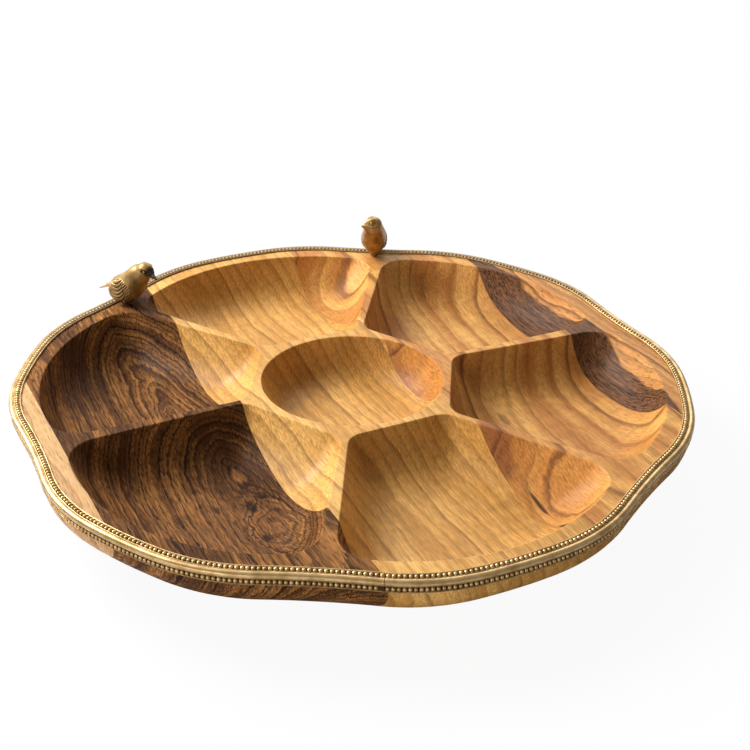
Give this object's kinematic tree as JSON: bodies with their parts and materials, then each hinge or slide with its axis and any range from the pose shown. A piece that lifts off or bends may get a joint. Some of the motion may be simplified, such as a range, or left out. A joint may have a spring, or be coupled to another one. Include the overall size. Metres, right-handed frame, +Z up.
{
  "type": "snack dish",
  "caption": "Lobed wooden snack dish with petal-shaped pockets round a middle bowl, a beaded brass rim strip and small brass birds perched on the rim.",
  "frame": {"origin": "middle of the dish's flat base, on the surface that it stands on", "axes": "+Z up; +X out through the middle of one lobe, and +Y out through the notch where one bird stands"},
  "size_m": [0.35, 0.3502, 0.0694],
  "materials": {
    "light_wood": "oiled, satin",
    "dark_figured_wood": "oiled, satin",
    "golden_wood": "oiled, satin",
    "brown_wood": "oiled, satin",
    "sapwood": "oiled, satin",
    "aged_brass_strip": "antiqued, satin",
    "aged_brass_bird": "cast, antiqued",
    "stud_steel": "plain"
  },
  "bodies": {
    "root": {"board_a": "light_wood", "board_b": "dark_figured_wood", "board_c": "golden_wood", "board_d": "brown_wood", "board_e": "sapwood", "rim_strip": "aged_brass_strip", "bird_back": "aged_brass_bird", "bird_left": "aged_brass_bird", "bird_stud_back": "stud_steel", "bird_stud_left": "stud_steel"}
  },
  "joints": []
}
